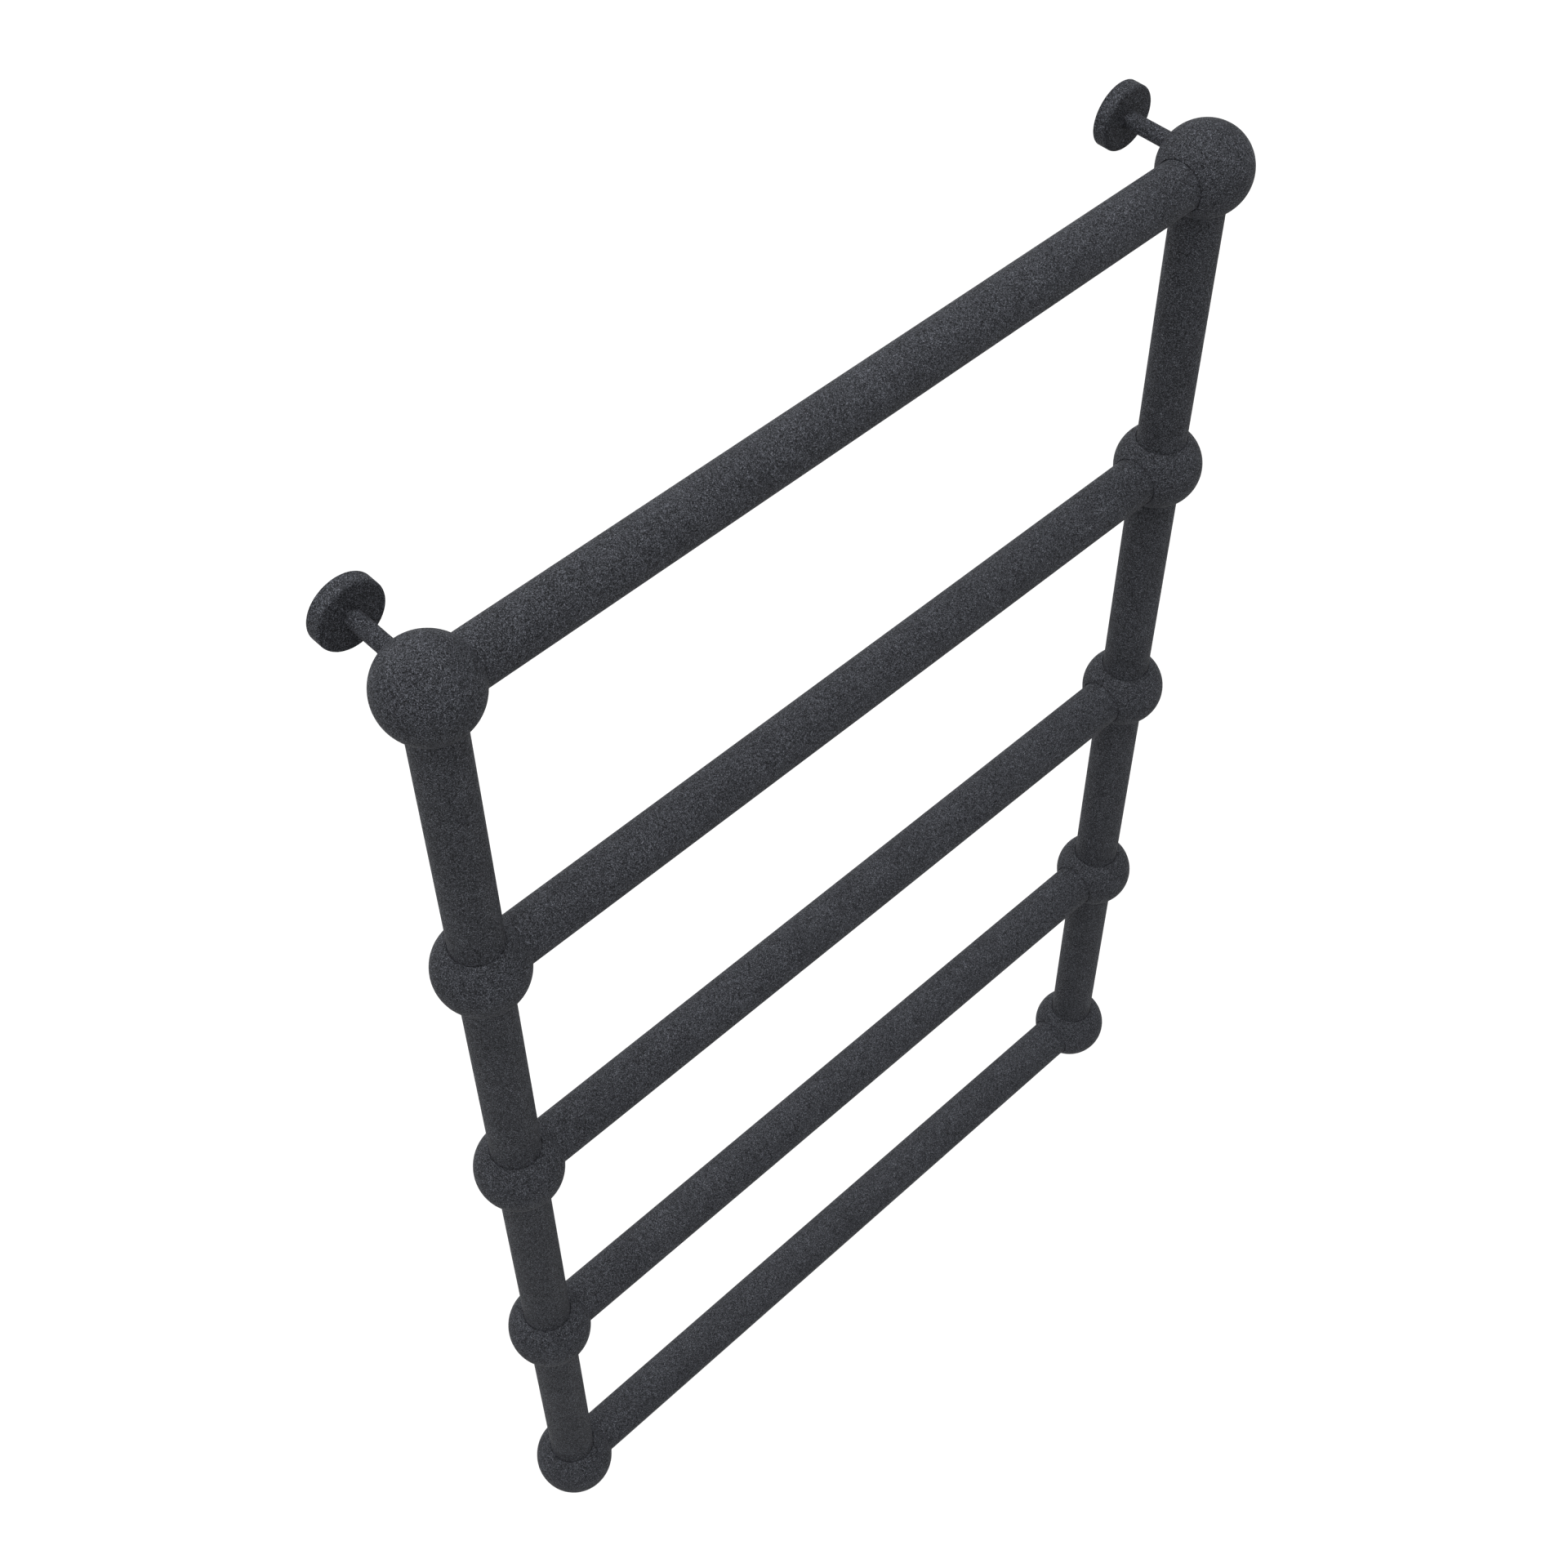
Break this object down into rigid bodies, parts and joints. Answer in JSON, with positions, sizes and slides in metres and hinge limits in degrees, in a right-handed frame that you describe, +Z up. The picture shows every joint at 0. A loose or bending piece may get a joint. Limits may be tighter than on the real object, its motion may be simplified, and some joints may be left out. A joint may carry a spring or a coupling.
{
  "type": "towel warmer rack",
  "caption": "Ladder-shaped hot-water towel rail with round tubes brazed into ball joints, held off the wall by slim stays with sliding round cover plates at the top.",
  "frame": {"origin": "on the wall plane, midway between the axes of the two wall stays", "axes": "+X to the right seen from the front, +Y into the wall, +Z up along the uprights; the front of the rack faces -Y"},
  "size_m": [0.622, 0.0952, 0.9403],
  "materials": {
    "textured_coat": "matte",
    "plated_steel": "satin",
    "black_steel": "satin",
    "vent_brass": "satin",
    "brazing_alloy": "satin",
    "black_rubber": "matte"
  },
  "bodies": {
    "rack": {"ball_joint_left_1": "textured_coat", "ball_joint_left_2": "textured_coat", "ball_joint_left_3": "textured_coat", "ball_joint_left_4": "textured_coat", "ball_joint_left_5": "textured_coat", "ball_joint_right_1": "textured_coat", "ball_joint_right_2": "textured_coat", "ball_joint_right_3": "textured_coat", "ball_joint_right_4": "textured_coat", "ball_joint_right_5": "textured_coat", "brazing_rings_left_1": "brazing_alloy", "brazing_rings_left_2": "brazing_alloy", "brazing_rings_left_3": "brazing_alloy", "brazing_rings_left_4": "brazing_alloy", "brazing_rings_left_5": "brazing_alloy", "brazing_rings_right_1": "brazing_alloy", "brazing_rings_right_2": "brazing_alloy", "brazing_rings_right_3": "brazing_alloy", "brazing_rings_right_4": "brazing_alloy", "brazing_rings_right_5": "brazing_alloy", "upright_left_1": "textured_coat", "upright_left_2": "textured_coat", "upright_left_3": "textured_coat", "upright_left_4": "textured_coat", "upright_right_1": "textured_coat", "upright_right_2": "textured_coat", "upright_right_3": "textured_coat", "upright_right_4": "textured_coat", "cross_rail_1": "textured_coat", "cross_rail_2": "textured_coat", "cross_rail_3": "textured_coat", "cross_rail_4": "textured_coat", "cross_rail_5": "textured_coat", "stay_rod_left": "textured_coat", "stay_rod_right": "textured_coat", "wall_plate_left": "plated_steel", "wall_plate_right": "plated_steel", "plate_grub_screw_left": "black_steel", "plate_grub_screw_right": "black_steel", "vent_plug": "vent_brass", "vent_washer": "black_rubber"},
    "left_rose": {"wall_rose_left": "textured_coat", "rose_grip_ring_left": "black_rubber"},
    "right_rose": {"wall_rose_right": "textured_coat", "rose_grip_ring_right": "black_rubber"},
    "valve_disc": {"vent_seal": "black_rubber"},
    "bleed_spindle": {"bleed_screw": "vent_brass"}
  },
  "joints": [
    {"name": "left_rose_slide", "type": "slide", "parent": "rack", "child": "left_rose", "axis": [0, -1, 0], "range_m": [0, 0.028]},
    {"name": "right_rose_slide", "type": "slide", "parent": "rack", "child": "right_rose", "axis": [0, -1, 0], "range_m": [0, 0.028]},
    {"name": "vent_seal_lift", "type": "slide", "parent": "rack", "child": "valve_disc", "axis": [1, 0, 0], "range_m": [0, 0.001]},
    {"name": "bleed_screw_turn", "type": "hinge", "parent": "valve_disc", "child": "bleed_spindle", "pos_m": [0.2825, -0.0667, -0.005], "axis": [1, 0, 0], "range_deg": [0, 360]}
  ],
  "couplings": [
    {"joint": "bleed_screw_turn", "follows": "vent_seal_lift", "rad_per_m": 6283.2}
  ]
}
